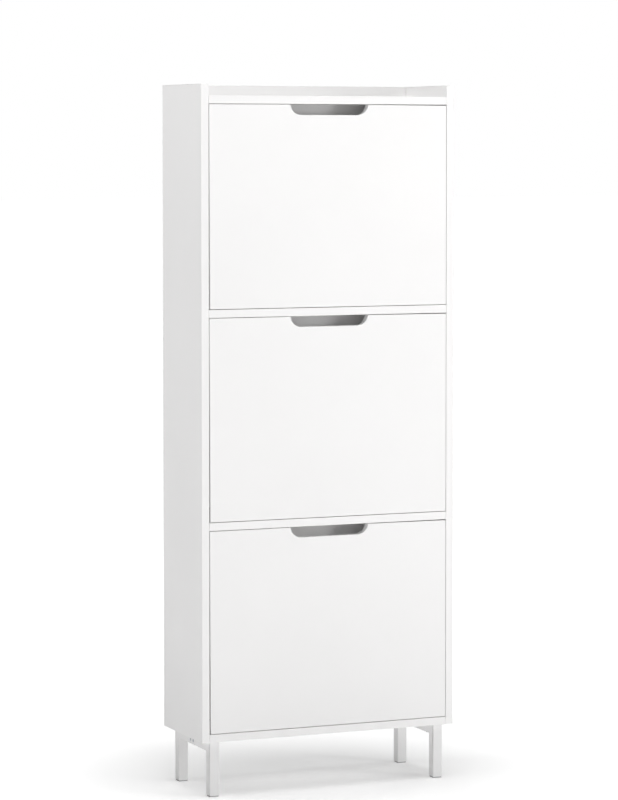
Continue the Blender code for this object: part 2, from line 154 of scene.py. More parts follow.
class Nodes:
    """A small writer of shader nodes for one material."""

    def __init__(self, name):
        self.material = bpy.data.materials.new(name)
        self.material.use_nodes = True
        self.tree = self.material.node_tree
        self.shader = self.tree.nodes["Principled BSDF"]
        self.place = self.add("ShaderNodeTexCoord").outputs["Object"]

    def add(self, kind, **settings):
        node = self.tree.nodes.new(kind)
        for setting, value in settings.items():
            setattr(node, setting, value)
        return node

    def link(self, start, end):
        self.tree.links.new(start, end)

    def stretched(self, scale):
        """The object's own coordinates, multiplied along each axis."""
        node = self.add("ShaderNodeMapping")
        node.inputs["Scale"].default_value = scale
        self.link(self.place, node.inputs["Vector"])
        return node.outputs["Vector"]

    def noise(self, scale, detail=3.0, roughness=0.55, along=None):
        node = self.add("ShaderNodeTexNoise")
        node.inputs["Scale"].default_value = scale
        node.inputs["Detail"].default_value = detail
        node.inputs["Roughness"].default_value = roughness
        self.link(self.place if along is None else along, node.inputs["Vector"])
        return node.outputs["Fac"]

    def cells(self, scale, along=None, feature="F1"):
        node = self.add("ShaderNodeTexVoronoi", feature=feature)
        node.inputs["Scale"].default_value = scale
        self.link(self.place if along is None else along, node.inputs["Vector"])
        return node.outputs["Distance"]

    def ramp(self, value, *stops):
        """A colour ramp through (position, colour) stops; a single number stands for a grey."""
        node = self.add("ShaderNodeValToRGB")
        colors = node.color_ramp.elements
        while len(colors) < len(stops):
            colors.new(1.0)
        for element, (position, color) in zip(colors, stops):
            element.position = position
            color = (color,) * 3 if isinstance(color, float) else color
            element.color = (*color, 1.0)
        self.link(value, node.inputs["Fac"])
        return node.outputs["Color"]

    def spread(self, value, low, high, start=0.3, end=0.7):
        """A texture value between start and end, mapped to low and high."""
        node = self.add("ShaderNodeMapRange")
        node.inputs["From Min"].default_value = start
        node.inputs["From Max"].default_value = end
        node.inputs["To Min"].default_value = low
        node.inputs["To Max"].default_value = high
        self.link(value, node.inputs["Value"])
        return node.outputs["Result"]

    def mixed(self, share, first, second, blend="MIX"):
        """Two colours mixed by a texture's share."""
        node = self.add("ShaderNodeMix", data_type="RGBA", blend_type=blend)
        for socket, value in zip((node.inputs[0], node.inputs[6], node.inputs[7]), (share, first, second)):
            if isinstance(value, bpy.types.NodeSocket):
                self.link(value, socket)
            else:
                socket.default_value = value if isinstance(value, float) else (*value, 1.0)
        return node.outputs[2]

    def bump(self, height, strength, distance, under=None):
        node = self.add("ShaderNodeBump")
        node.inputs["Strength"].default_value = strength
        node.inputs["Distance"].default_value = distance
        self.link(height, node.inputs["Height"])
        if under is not None:
            self.link(under, node.inputs["Normal"])
        return node.outputs["Normal"]

    def finish(self, color, roughness, normal=None, **constants):
        """Links what varies and sets the shader's own sockets for what doesn't."""
        self.link(color, self.shader.inputs["Base Color"])
        self.link(roughness, self.shader.inputs["Roughness"])
        if normal is not None:
            self.link(normal, self.shader.inputs["Normal"])
        for socket, value in constants.items():
            self.shader.inputs[socket.replace("_", " ")].default_value = value
        return self.material


def lacquer(name, tone, gloss):
    """Sprayed satin lacquer: faint cloudiness, orange peel, a few fine specks and handled patches."""
    n = Nodes(name)
    clouds = n.ramp(n.noise(5.0, 4.0), (0.3, tuple(c * 0.982 for c in tone)), (0.7, tone))
    specks = n.ramp(n.cells(210.0), (0.0, 0.93), (0.035, 1.0))
    color = n.mixed(1.0, clouds, specks, "MULTIPLY")
    handled = n.noise(14.0, 5.0, 0.6)
    peel = n.bump(n.noise(620.0, 2.0, 0.4), 0.10, 0.0002)
    waves = n.bump(n.noise(38.0, 1.0, 0.3), 0.05, 0.0012, peel)
    return n.finish(color, n.spread(handled, gloss - 0.05, gloss + 0.06), waves, Specular_IOR_Level=0.32,
                    Coat_Weight=0.05, Coat_Roughness=0.35)


def edge_band(name, tone):
    """Extruded edge band: drawn out along its length, a little glossier than the faces."""
    n = Nodes(name)
    drawn = n.noise(60.0, 3.0, 0.5, n.stretched((22.0, 22.0, 0.35)))
    color = n.ramp(drawn, (0.25, tuple(c * 0.985 for c in tone)), (0.75, tone))
    lines = n.bump(drawn, 0.05, 0.0002)
    return n.finish(color, n.spread(n.noise(25.0, 3.0), 0.28, 0.38), lines, Specular_IOR_Level=0.45)


def foil(name, tone):
    """Printed white foil pressed on thin board: pearly grain, matt."""
    n = Nodes(name)
    pearl = n.noise(900.0, 2.0, 0.7, n.stretched((1.0, 1.0, 0.4)))
    color = n.ramp(n.noise(9.0, 4.0), (0.3, tuple(c * 0.965 for c in tone)), (0.7, tone))
    return n.finish(color, n.spread(pearl, 0.44, 0.56), n.bump(pearl, 0.12, 0.0001),
                    Specular_IOR_Level=0.4)


def raw_fibre(name):
    """Sawn fibreboard edge: pressed brown fibres."""
    n = Nodes(name)
    fibres = n.noise(1400.0, 5.0, 0.7, n.stretched((0.25, 1.0, 1.0)))
    color = n.ramp(fibres, (0.25, (0.30, 0.20, 0.125)), (0.5, (0.45, 0.33, 0.22)),
                   (0.8, (0.60, 0.47, 0.34)))
    return n.finish(color, n.spread(fibres, 0.75, 0.92), n.bump(fibres, 0.5, 0.0003),
                    Specular_IOR_Level=0.25)


def hardboard(name, tone):
    """Painted hardboard: a sprayed face over a faint screen weave and long fibres."""
    n = Nodes(name)
    fibres = n.noise(240.0, 5.0, 0.65, n.stretched((0.35, 1.0, 1.0)))
    clouds = n.ramp(n.noise(6.0, 3.0), (0.3, tuple(c * 0.95 for c in tone)), (0.7, tone))
    color = n.mixed(1.0, clouds, n.ramp(fibres, (0.3, 0.955), (0.65, 1.0)), "MULTIPLY")
    return n.finish(color, n.spread(fibres, 0.52, 0.68), n.bump(fibres, 0.18, 0.0003),
                    Specular_IOR_Level=0.35)


def powder_coat(name, tone):
    """Powder coat on steel tube: fine pebbled skin, small pits darkened with painted shade, a slight
    build-up of tone.
    """
    n = Nodes(name)
    pebbles = n.noise(1100.0, 3.0, 0.6)
    # Painted shade: small dark spots stand for the shade inside pits.
    pit_shade = n.ramp(n.cells(330.0), (0.0, 0.90), (0.05, 1.0))
    clouds = n.ramp(n.noise(18.0, 4.0), (0.3, tuple(c * 0.975 for c in tone)), (0.7, tone))
    color = n.mixed(1.0, clouds, pit_shade, "MULTIPLY")
    skin = n.bump(pebbles, 0.22, 0.00018)
    return n.finish(color, n.spread(pebbles, 0.40, 0.52), n.bump(n.noise(160.0, 1.0), 0.06, 0.0006, skin),
                    Specular_IOR_Level=0.45)


def moulded(name, tone, gloss):
    """Injection-moulded plastic: spark-eroded texture and long, faint flow marks."""
    n = Nodes(name)
    grain = n.noise(1500.0, 2.0, 0.6)
    flow = n.noise(26.0, 3.0, 0.6, n.stretched((1.0, 0.5, 0.18)))
    color = n.ramp(flow, (0.3, tuple(c * 0.97 for c in tone)), (0.7, tone))
    return n.finish(color, n.spread(flow, gloss - 0.04, gloss + 0.05), n.bump(grain, 0.16, 0.00012),
                    Specular_IOR_Level=0.45, Subsurface_Weight=0.06, Subsurface_Scale=0.002)


def plated(name, tone, gloss, tarnish):
    """Zinc plate or blackened steel: drawn scratches, cloudy passivation and small tarnish spots."""
    n = Nodes(name)
    drawn = n.noise(700.0, 4.0, 0.6, n.stretched((0.08, 1.0, 1.0)))
    clouds = n.ramp(n.noise(55.0, 4.0), (0.3, tarnish), (0.62, tone))
    spots = n.ramp(n.noise(420.0, 2.0), (0.30, 0.72), (0.40, 1.0))
    color = n.mixed(1.0, clouds, spots, "MULTIPLY")
    return n.finish(color, n.spread(drawn, gloss - 0.08, gloss + 0.12), n.bump(drawn, 0.14, 0.0001),
                    Metallic=1.0)


def glowing_floor_finish():
    """Pale studio floor, very slightly uneven in tone and gloss, glowing with painted light: dim around the
    cabinet as a painted shadow and brighter further off.
    """
    n = Nodes("studio_floor")
    color = n.ramp(n.noise(0.8, 3.0), (0.3, (0.925, 0.925, 0.925)), (0.7, (0.94, 0.94, 0.94)))
    # Painted light: the floor glows by its distance from the middle, dimly around the cabinet as a painted
    # shadow and brightly further off.
    away = n.add("ShaderNodeVectorMath", operation="LENGTH")
    n.link(n.place, away.inputs[0])
    share = n.spread(away.outputs["Value"], 0.0, 1.0, 0.0, FLOOR_GLOW_REACH)
    n.link(n.ramp(share, *FLOOR_GLOW), n.shader.inputs["Emission Strength"])
    return n.finish(color, n.spread(n.noise(3.0, 3.0), 0.62, 0.72), Specular_IOR_Level=0.25,
                    Emission_Color=(1.0, 1.0, 1.0, 1.0))


WHITE = (0.902, 0.896, 0.893)
LOOKS = {
    "lacquer": lacquer("satin_white_lacquer", WHITE, 0.48),
    "flap": lacquer("satin_white_flap_lacquer", WHITE, 0.46),
    "band": edge_band("white_edge_band", (0.906, 0.900, 0.897)),
    "foil": foil("white_basket_foil", (0.84, 0.84, 0.83)),
    "fibre": raw_fibre("raw_fibreboard_edge"),
    "hardboard": hardboard("white_hardboard", (0.80, 0.80, 0.79)),
    "powder": powder_coat("white_powder_coat", (0.86, 0.857, 0.855)),
    "plastic": moulded("white_moulded_plastic", (0.86, 0.86, 0.85), 0.36),
    "grey_plastic": moulded("grey_glide_plastic", (0.48, 0.48, 0.48), 0.48),
    "steel": plated("zinc_plated_steel", (0.66, 0.67, 0.69), 0.30, (0.52, 0.53, 0.56)),
    "dark": plated("blackened_steel", (0.085, 0.085, 0.09), 0.36, (0.05, 0.05, 0.055)),
}


# Meshes

def linked(name, mesh):
    obj = bpy.data.objects.new(name, mesh)
    bpy.context.scene.collection.objects.link(obj)
    return obj


def from_bmesh(name, shape):
    mesh = bpy.data.meshes.new(name)
    shape.to_mesh(mesh)
    shape.free()
    return linked(name, mesh)


def shade(obj):
    """Smooth shading weighted by area: flat faces stay flat and the rounds between them run into them."""
    obj.data.shade_smooth()
    obj.data.set_sharp_from_angle(angle=SHARP)
    weighted = obj.modifiers.new("Weighted normals", "WEIGHTED_NORMAL")
    weighted.keep_sharp = True


def piece(obj, look, slot, body=CARCASS, *nodes):
    """Gives an object its finish, hangs it on its body and hides the CAD nodes it stands for."""
    if look:
        obj.data.materials.clear()
        obj.data.materials.append(LOOKS[look])
    shade(obj)
    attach(obj, body)
    if nodes:
        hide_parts(*nodes)


def add_box(shape, low, high, radius=0.0, segments=3, chosen=None):
    """Adds a box to a bmesh, with the chosen edges rounded; by default all of them."""
    low, high = Vector(low), Vector(high)
    made = bmesh.ops.create_cube(shape, size=1.0)["verts"]
    bmesh.ops.scale(shape, vec=high - low, verts=made)
    bmesh.ops.translate(shape, vec=(low + high) / 2, verts=made)
    if radius:
        edges = {edge for vert in made for edge in vert.link_edges}
        if chosen:
            edges = {edge for edge in edges if chosen((edge.verts[0].co + edge.verts[1].co) / 2)}
        bmesh.ops.bevel(shape, geom=sorted(edges, key=lambda edge: edge.index), offset=radius,
                        segments=segments, profile=0.5, affect="EDGES", clamp_overlap=True)


def rounded_box(name, low, high, radius, segments=3, chosen=None):
    shape = bmesh.new()
    add_box(shape, low, high, radius, segments, chosen)
    return from_bmesh(name, shape)


def add_turned(shape, profile, centre, facing, steps=ROUND_STEPS):
    """Adds a round solid to a bmesh: a (radius, height) profile turned about an axis through the centre."""
    turn = Vector(facing).to_track_quat("Z", "Y").to_matrix().to_4x4()
    where = Matrix.Translation(centre) @ turn
    rings = []
    for radius, height in profile:
        if radius == 0:
            rings.append([shape.verts.new(where @ Vector((0, 0, height)))])
            continue
        angles = [2 * pi * step / steps for step in range(steps)]
        rings.append([shape.verts.new(where @ Vector((radius * cos(a), radius * sin(a), height)))
                      for a in angles])
    for lower, upper in zip(rings, rings[1:]):
        for step in range(steps):
            after = (step + 1) % steps
            corners = [lower[step % len(lower)], lower[after % len(lower)],
                       upper[after % len(upper)], upper[step % len(upper)]]
            shape.faces.new(list(dict.fromkeys(corners)))


def turned(name, profile, centre, facing, steps=ROUND_STEPS):
    shape = bmesh.new()
    add_turned(shape, profile, centre, facing, steps)
    return from_bmesh(name, shape)


def arc(centre, radius, first, last, steps=ARC_STEPS):
    """Points along an arc, both ends included."""
    angles = [first + (last - first) * step / steps for step in range(steps + 1)]
    return [Vector((centre[0] + radius * cos(a), centre[1] + radius * sin(a))) for a in angles]


def rounded_outline(corners):
    """The outline through (x, y, radius) corners, each rounded by an arc of its own radius."""
    points = []
    for index, (x, y, radius) in enumerate(corners):
        here = Vector((x, y))
        if not radius:
            points.append(here)
            continue
        before = (Vector(corners[index - 1][:2]) - here).normalized()
        after = (Vector(corners[(index + 1) % len(corners)][:2]) - here).normalized()
        half = before.angle(after) / 2
        centre = here + (before + after).normalized() * radius / sin(half)
        start = here + before * radius / tan(half) - centre
        end = here + after * radius / tan(half) - centre
        first = atan2(start.y, start.x)
        sweep = (atan2(end.y, end.x) - first + pi) % (2 * pi) - pi
        points += arc(centre, radius, first, first + sweep)
    return points


def baked(obj):
    """The object's evaluated mesh, with its doubled points joined, as a new object in its place."""
    bpy.context.view_layer.update()
    graph = bpy.context.evaluated_depsgraph_get()
    mesh = bpy.data.meshes.new_from_object(obj.evaluated_get(graph))
    name = obj.name
    mesh.transform(obj.matrix_world)
    bpy.data.objects.remove(obj)
    shape = bmesh.new()
    shape.from_mesh(mesh)
    bmesh.ops.remove_doubles(shape, verts=shape.verts, dist=0.000004)
    bmesh.ops.recalc_face_normals(shape, faces=shape.faces)
    shape.to_mesh(mesh)
    shape.free()
    mesh.name = name
    return linked(name, mesh)


def plate(name, outlines, standing, middle, thickness, radius):
    """A plate cut to its outlines, the first one outside and the rest holes, with all its rims rounded."""
    curve = bpy.data.curves.new(name + "_outline", "CURVE")
    curve.dimensions = "2D"
    curve.fill_mode = "BOTH"
    curve.extrude = thickness / 2 - radius
    curve.bevel_depth = radius
    curve.bevel_resolution = 2
    curve.offset = -radius
    for outline in outlines:
        spline = curve.splines.new("POLY")
        spline.points.add(len(outline) - 1)
        for point, (x, y) in zip(spline.points, outline):
            point.co = (x, y, 0, 1)
        spline.use_cyclic_u = True
    drawn = linked(name, curve)
    drawn.matrix_world = Matrix.Translation(middle) @ standing
    return baked(drawn)


def combined(obj, shape, operation, overlapping=True):
    """The object with a bmesh of closed solids, which may overlap each other, cut out of it or joined on."""
    tool = from_bmesh(obj.name + "_tool", shape)
    boolean = obj.modifiers.new("Combine", "BOOLEAN")
    boolean.operation = operation
    boolean.solver = "EXACT"
    boolean.use_self = overlapping
    boolean.object = tool
    made = baked(obj)
    bpy.data.objects.remove(tool)
    return made


def drilled(obj, holes):
    """The object with blind holes, each (mouth, facing, radius, depth)."""
    shape = bmesh.new()
    for mouth, facing, radius, depth in holes:
        profile = [(0, -depth), (radius, -depth), (radius, BORE_MOUTH), (0, BORE_MOUTH)]
        add_turned(shape, profile, mouth, facing)
    return combined(obj, shape, "DIFFERENCE", overlapping=False)


# Carcass boards

def banded_board(node, bands, holes=()):
    """A board with edge bands on some of its edges, each (axis, end) with end 0 low and 1 high."""
    low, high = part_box(node)
    core_low, core_high = low.copy(), high.copy()
    for axis, end in bands:
        strip_low, strip_high = core_low.copy(), core_high.copy()
        if end:
            strip_low[axis] = high[axis] - BAND
            core_high[axis] = high[axis] - BAND - BAND_JOINT
        else:
            strip_high[axis] = low[axis] + BAND
            core_low[axis] = low[axis] + BAND + BAND_JOINT
        outer = high[axis] if end else low[axis]

        def on_rim(middle, axis=axis, outer=outer):
            return abs(middle[axis] - outer) < BAND / 4

        side_name = ("left", "front", "under")[axis] if not end else ("right", "rear", "top")[axis]
        strip = rounded_box(f"{node}_{side_name}_band", strip_low, strip_high, BAND_ROUND, 4, on_rim)
        piece(strip, "band", "white_board")
    core = rounded_box(node + "_core", core_low, core_high, CORE_ROUND, 2)
    if holes:
        core = drilled(core, holes)
    piece(core, "lacquer", "white_board", CARCASS, node)


def pin_holes(side):
    """The side panel's blind bores, around the CAD's own pins."""
    sign = SIDES[side]
    low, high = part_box(side + "_side_panel")
    face = high.x if sign < 0 else low.x
    holes = []
    for level in LEVELS:
        for kind in ("pivot_pin", "stop_pin"):
            pin_low, pin_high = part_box(f"{level}_{side}_{kind}")
            centre = (pin_low + pin_high) / 2
            depth = abs((pin_low.x if sign < 0 else pin_high.x) - face) + BORE_CLEARANCE
            holes.append(((face, centre.y, centre.z), (-sign, 0, 0), PIN_RADIUS + BORE_CLEARANCE, depth))
    return holes


def back_panel():
    """Hardboard back with two columns of round-ended ventilation slots high in each bay."""
    low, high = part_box("back_panel")
    outlines = [rounded_outline([(low.x, low.z, CORE_ROUND), (high.x, low.z, CORE_ROUND),
                                 (high.x, high.z, CORE_ROUND), (low.x, high.z, CORE_ROUND)])]
    for board_above in ("lower_shelf", "upper_shelf", "top_board"):
        for row in range(VENT_ROWS):
            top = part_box(board_above)[0].z - VENT_BELOW_SHELF - row * VENT_PITCH
            for sign in SIDES.values():
                left, right = sign * VENT_CENTRE - VENT_LENGTH / 2, sign * VENT_CENTRE + VENT_LENGTH / 2
                ends = [(left, top - VENT_HEIGHT), (right, top - VENT_HEIGHT), (right, top), (left, top)]
                outlines.append(rounded_outline([(*end, VENT_END_RADIUS) for end in ends]))
    middle = (0, (low.y + high.y) / 2, 0)
    panel = plate("hardboard_back", outlines, STANDING_ACROSS_Y, middle, high.y - low.y, CORE_ROUND)
    piece(panel, "hardboard", "back_board", CARCASS, "back_panel")


def cam_covers(node):
    """Four plastic caps over the fittings that draw a board's ends to the sides, flush in its underside."""
    low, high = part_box(node)
    shape = bmesh.new()
    radius, proud, sunk, from_end, from_edge = 0.0075, 0.0006, 0.0010, 0.033, 0.040
    profile = [(0, -sunk), (radius, -sunk), (radius, proud * 0.4), (radius - proud * 0.6, proud),
               (radius * 0.35, proud), (radius * 0.28, proud * 0.3), (0, proud * 0.3)]
    for x in (low.x + from_end, high.x - from_end):
        for y in (low.y + from_edge, high.y - from_edge):
            add_turned(shape, profile, (x, y, low.z), (0, 0, -1))
    piece(from_bmesh(node + "_cam_covers", shape), "plastic", "white_plastic")


# Fittings

def screw_head(shape, centre, facing, radius, height):
    """Pan head, added to a bmesh: a short sunk seat, a straight rim and a dome."""
    seat, rim = -height * HEAD_SEAT, height * HEAD_RIM
    turns = [pi / 2 * step / HEAD_RINGS for step in range(HEAD_RINGS)]
    dome = [(radius * cos(a), rim + (height - rim) * sin(a)) for a in turns]
    add_turned(shape, [(0, seat), (radius, seat)] + dome + [(0, height)], centre, facing, HEAD_STEPS)


def cross_recess(shape, centre, facing, radius, height):
    """Two crossed bars, added to the bmesh that is cut out of the screw heads."""
    turn = Vector(facing).to_track_quat("Z", "Y").to_matrix().to_4x4()
    where = Matrix.Translation(centre) @ turn
    long, thin = radius * RECESS_REACH, radius * RECESS_HALF_WIDTH
    for half_x, half_y in ((long, thin), (thin, long)):
        made = bmesh.ops.create_cube(shape, size=1.0)["verts"]
        bmesh.ops.scale(shape, vec=(half_x * 2, half_y * 2, height), verts=made)
        bmesh.ops.translate(shape, vec=(0, 0, height * RECESS_HEIGHT), verts=made)
        bmesh.ops.transform(shape, matrix=where, verts=made)


def screws(name, centres, facing, radius, height, body=CARCASS):
    """A set of zinc-plated pan-head screws that share one facing, as one piece."""
    heads, recesses = bmesh.new(), bmesh.new()
    for centre in centres:
        screw_head(heads, centre, facing, radius, height)
        cross_recess(recesses, centre, facing, radius, height)
    piece(combined(from_bmesh(name, heads), recesses, "DIFFERENCE"), "steel", "bright_steel", body)


def pin(node, body):
    """A pivot pin: a plain rod with chamfered ends."""
    low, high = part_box(node)
    length, radius, chamfer = high.x - low.x, (high.z - low.z) / 2, 0.0006
    centre = (low + high) / 2
    profile = [(0, 0), (radius - chamfer, 0), (radius, chamfer), (radius, length - chamfer),
               (radius - chamfer, length), (0, length)]
    rod = turned(node + "_rod", profile, (low.x, centre.y, centre.z), (1, 0, 0))
    piece(rod, "steel", "bright_steel", body, node)


def stop_pin(node, side):
    """A stop pin: shank in the side panel, neck through the wing's slot and a low domed head."""
    low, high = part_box(node)
    sign = SIDES[side]
    length, head_radius, head = high.x - low.x, (high.z - low.z) / 2, 0.0015
    base = low.x if sign < 0 else high.x
    centre = (low + high) / 2
    profile = [(0, 0), (PIN_RADIUS, 0), (PIN_RADIUS, length - head), (head_radius, length - head),
               (head_radius, length - head * 0.5), (head_radius * 0.8, length - head * 0.1), (0, length)]
    made = turned(node + "_rivet", profile, (base, centre.y, centre.z), (-sign, 0, 0))
    piece(made, "steel", "bright_steel", CARCASS, node)


def leg_bolt(node):
    """Button-head bolt with a hexagon socket, under a leg frame's rail."""
    low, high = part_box(node)
    centre = (low + high) / 2
    radius, head, shank = (high.x - low.x) / 2, 0.0025, 0.003
    profile = [(0, 0), (radius * 0.72, 0), (radius * 0.92, head * 0.35), (radius, head), (shank, head),
               (shank, high.z - low.z), (0, high.z - low.z)]
    bolt = turned(node + "_button_head", profile, (centre.x, centre.y, low.z), (0, 0, 1))
    socket = bmesh.new()
    add_turned(socket, [(0, -0.001), (0.0022, -0.001), (0.0022, head * 0.7), (0, head * 0.7)],
               (centre.x, centre.y, low.z), (0, 0, 1), 6)
    bolt = combined(bolt, socket, "DIFFERENCE", overlapping=False)
    piece(bolt, "dark", "dark_steel", CARCASS, node)


def glide(node):
    """Plastic foot: a rounded pad with a narrower plug that stands in the leg's tube."""
    low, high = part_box(node)
    pad_top, inset, overlap = low.z + 0.002, 0.0008, 0.0008
    pad, plug = bmesh.new(), bmesh.new()
    add_box(pad, low, (high.x, high.y, pad_top), 0.0006, 3)
    add_box(plug, (low.x + inset, low.y + inset, pad_top - overlap),
            (high.x - inset, high.y - inset, high.z), 0.0004, 2)
    made = combined(from_bmesh(node + "_pad", pad), plug, "UNION")
    piece(made, "grey_plastic", "grey_plastic", CARCASS, node)


def wall_bracket(node):
    """Pressed steel angle with a rounded bend and a wall screw hole."""
    low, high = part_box(node)
    steel, bend, edge = 0.0015, 0.0024, 0.0002
    outline = rounded_outline([
        (low.y, high.z, edge), (low.y, high.z - steel, edge), (high.y - steel, high.z - steel, bend - steel),
        (high.y - steel, low.z, edge), (high.y, low.z, edge), (high.y, high.z, bend),
    ])
    middle = ((low.x + high.x) / 2, 0, 0)
    angle = plate(node + "_angle", [outline], STANDING_ACROSS_X, middle, high.x - low.x, edge)
    hole = (middle[0], high.y, high.z - (high.z - low.z) * 2 / 3)
    angle = drilled(angle, [(hole, (0, 1, 0), 0.0025, 0.004)])
    piece(angle, "steel", "bright_steel", CARCASS, node)
    screws(node + "_screw", [(middle[0], low.y + 0.0045, high.z - steel)], (0, 0, -1), 0.0032, 0.0016)


def catch(level):
    """Magnetic catch: a rounded case with two steel poles at its face, two screws, and its strike plate."""
    low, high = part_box(level + "_catch")
    case = rounded_box(level + "_catch_case", low, high, 0.0014, 4)
    piece(case, "plastic", "white_plastic", CARCASS, level + "_catch")
    poles = bmesh.new()
    for lift in (0.0028, 0.0072):
        add_box(poles, (low.x + 0.009, low.y - 0.0002, low.z + lift),
                (high.x - 0.009, low.y + 0.002, low.z + lift + 0.0018), 0.0001, 1)
    piece(from_bmesh(level + "_catch_poles", poles), "steel", "bright_steel")
    middle_y = (low.y + high.y) / 2
    screws(level + "_catch_screws", [(low.x + 0.0055, middle_y, low.z), (high.x - 0.0055, middle_y, low.z)],
           (0, 0, -1), 0.0027, 0.0009)
    flap_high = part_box(level + "_flap")[1]
    centre = Vector(((low.x + high.x) / 2, flap_high.y + STRIKE_THICKNESS, flap_high.z - STRIKE_BELOW_EDGE))
    half = Vector((STRIKE_WIDTH / 2, 0, STRIKE_HEIGHT / 2))
    strike_low = centre - half - Vector((0, STRIKE_THICKNESS, 0))
    strike = rounded_box(level + "_strike", strike_low, centre + half, 0.0003, 2)
    strike = drilled(strike, [(centre, (0, 1, 0), 0.0028, 0.0007)])
    piece(strike, "steel", "bright_steel", level + "_tip_out")
    screws(level + "_strike_screw", [centre - Vector((0, 0.00085, 0))], (0, 1, 0), 0.0024, 0.0007,
           level + "_tip_out")


# Leg frames

def leg_frame(side):
    """Welded inverted U of rounded square tube, with a small weld in each inner corner."""
    node = side + "_leg_frame"
    low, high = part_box(node)
    under = high.z - TUBE
    outline = rounded_outline([
        (low.y, low.z, 0), (low.y + TUBE, low.z, 0), (low.y + TUBE, under, 0), (high.y - TUBE, under, 0),
        (high.y - TUBE, low.z, 0), (high.y, low.z, 0), (high.y, high.z, TUBE_CORNER),
        (low.y, high.z, TUBE_CORNER),
    ])
    middle = ((low.x + high.x) / 2, 0, 0)
    tube = plate(node + "_tube", [outline], STANDING_ACROSS_X, middle, high.x - low.x, TUBE_ROUND)
    piece(tube, "powder", "powder_coated_steel", CARCASS, node)
    welds = bmesh.new()
    length = high.x - low.x - 2 * TUBE_ROUND
    profile = [(0, 0), (WELD_END_RADIUS, 0)]
    for step in range(1, WELD_RIPPLES):
        swell = 1 + WELD_SWELL * sin(step * WELD_PHASE)
        profile.append((WELD_RADIUS * swell, length * step / WELD_RIPPLES))
    profile += [(WELD_END_RADIUS, length), (0, length)]
    for y in (low.y + TUBE, high.y - TUBE):
        add_turned(welds, profile, (low.x + TUBE_ROUND, y, under), (1, 0, 0), 20)
    piece(from_bmesh(node + "_welds", welds), "powder", "powder_coated_steel")
    outer = low.x if side == "left" else high.x
    centre_y = (low.y + high.y) / 2
    centres = [(outer, centre_y + offset, under + RAIL_SCREW_HEIGHT)
               for offset in (-RAIL_SCREW_HALF_PITCH, RAIL_SCREW_HALF_PITCH)]
    screws(side + "_rail_screws", centres, (SIDES[side], 0, 0), 0.0032, 0.0012)


# Flaps

def flap_panel(level):
    """Flap board with rounded edges all round, in its finger notch too, bored for its pivot pins."""
    node = level + "_flap"
    low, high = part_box(node)
    centre_z = high.z - NOTCH_DEPTH + NOTCH_RADIUS
    half = NOTCH_FLAT / 2
    rise = atan2(high.z - centre_z, (NOTCH_RADIUS ** 2 - (high.z - centre_z) ** 2) ** 0.5)
    corner = FLAP_ROUND
    outline = rounded_outline([(low.x, low.z, corner), (high.x, low.z, corner), (high.x, high.z, corner)])
    outline += arc((half, centre_z), NOTCH_RADIUS, rise, -pi / 2, 14)
    outline += arc((-half, centre_z), NOTCH_RADIUS, -pi / 2, -pi - rise, 14)
    outline += rounded_outline([(high.x, high.z, 0), (low.x, high.z, corner), (low.x, low.z, 0)])[1:-1]
    middle = (0, (low.y + high.y) / 2, 0)
    board = plate(node + "_panel", [outline], STANDING_ACROSS_Y, middle, high.y - low.y, FLAP_ROUND)
    holes = []
    for side, sign in SIDES.items():
        pin_low, pin_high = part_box(f"{level}_{side}_pivot_pin")
        centre = (pin_low + pin_high) / 2
        edge = low.x if sign < 0 else high.x
        depth = abs((pin_high.x if sign < 0 else pin_low.x) - edge) + BORE_CLEARANCE
        holes.append(((edge, centre.y, centre.z), (sign, 0, 0), PIN_RADIUS + BORE_CLEARANCE, depth))
    piece(drilled(board, holes), "flap", "white_board", level + "_tip_out", node)


def pivot_of(level):
    """The middle of the left pivot pin, on the flap's hinge axis."""
    low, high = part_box(f"{level}_left_pivot_pin")
    return (low + high) / 2


def slot_outline(pivot, grow=0.0):
    """The arc slot about the pivot, as (y, z) points; grow widens it."""
    half = SLOT_HALF_WIDTH + grow
    high, low = STOP_ANGLE + SLOT_END_PLAY, STOP_ANGLE - OPEN_ANGLE - SLOT_END_PLAY
    centre = Vector((pivot.y, pivot.z))
    ends = {angle: centre + Vector((cos(angle), sin(angle))) * STOP_RADIUS for angle in (high, low)}
    points = arc(centre, STOP_RADIUS + half, low, high, 20)
    points += arc(ends[high], half, high, high + pi, 12)[1:-1]
    points += arc(centre, STOP_RADIUS - half, high, low, 20)
    return points + arc(ends[low], half, low + pi, low + 2 * pi, 12)[1:-1]


def bead(name, outline, x, body):
    """A raised round bead along a closed (y, z) outline on a wing's outer face."""
    curve = bpy.data.curves.new(name, "CURVE")
    curve.dimensions = "3D"
    curve.bevel_depth = BEAD_RADIUS
    curve.bevel_resolution = 3
    spline = curve.splines.new("POLY")
    spline.points.add(len(outline) - 1)
    for point, (y, z) in zip(spline.points, outline):
        point.co = (x, y, z, 1)
    spline.use_cyclic_u = True
    piece(baked(linked(name, curve)), "plastic", "white_plastic", body)


